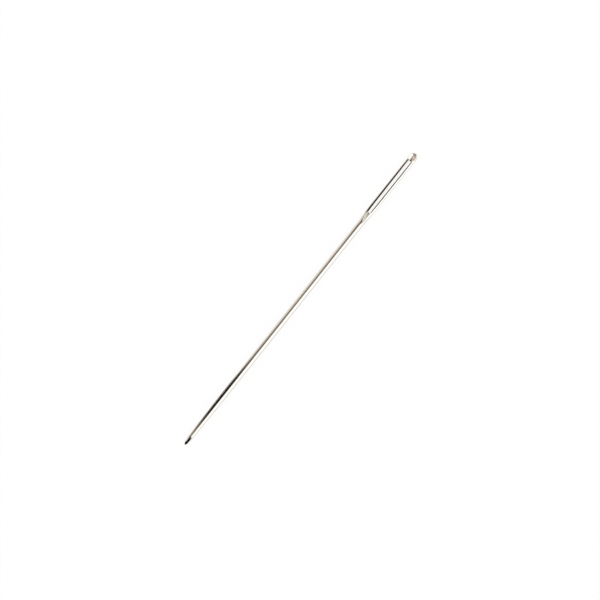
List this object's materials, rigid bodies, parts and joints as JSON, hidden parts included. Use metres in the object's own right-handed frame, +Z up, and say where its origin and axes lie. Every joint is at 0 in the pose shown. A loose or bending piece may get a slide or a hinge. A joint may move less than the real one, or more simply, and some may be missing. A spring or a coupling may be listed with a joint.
{
  "type": "yarn needle",
  "caption": "Long straight yarn needle in bright plated steel: round shaft, blunt rounded point, and a flattened head end with a long narrow eye and a thread groove at each end of the eye.",
  "frame": {"origin": "middle of the needle's length and width, on the surface that the shaft lies on", "axes": "+X along the needle from its point to its head, +Z up through the eye's opening, +Y across the needle"},
  "size_m": [0.074, 0.0016, 0.0013],
  "materials": {
    "plated_steel": "mirror-polished nickel plating on drawn steel"
  },
  "bodies": {
    "root": {"shaft": "plated_steel", "shoulder": "plated_steel", "rim_left": "plated_steel", "rim_right": "plated_steel", "head": "plated_steel"}
  },
  "joints": []
}
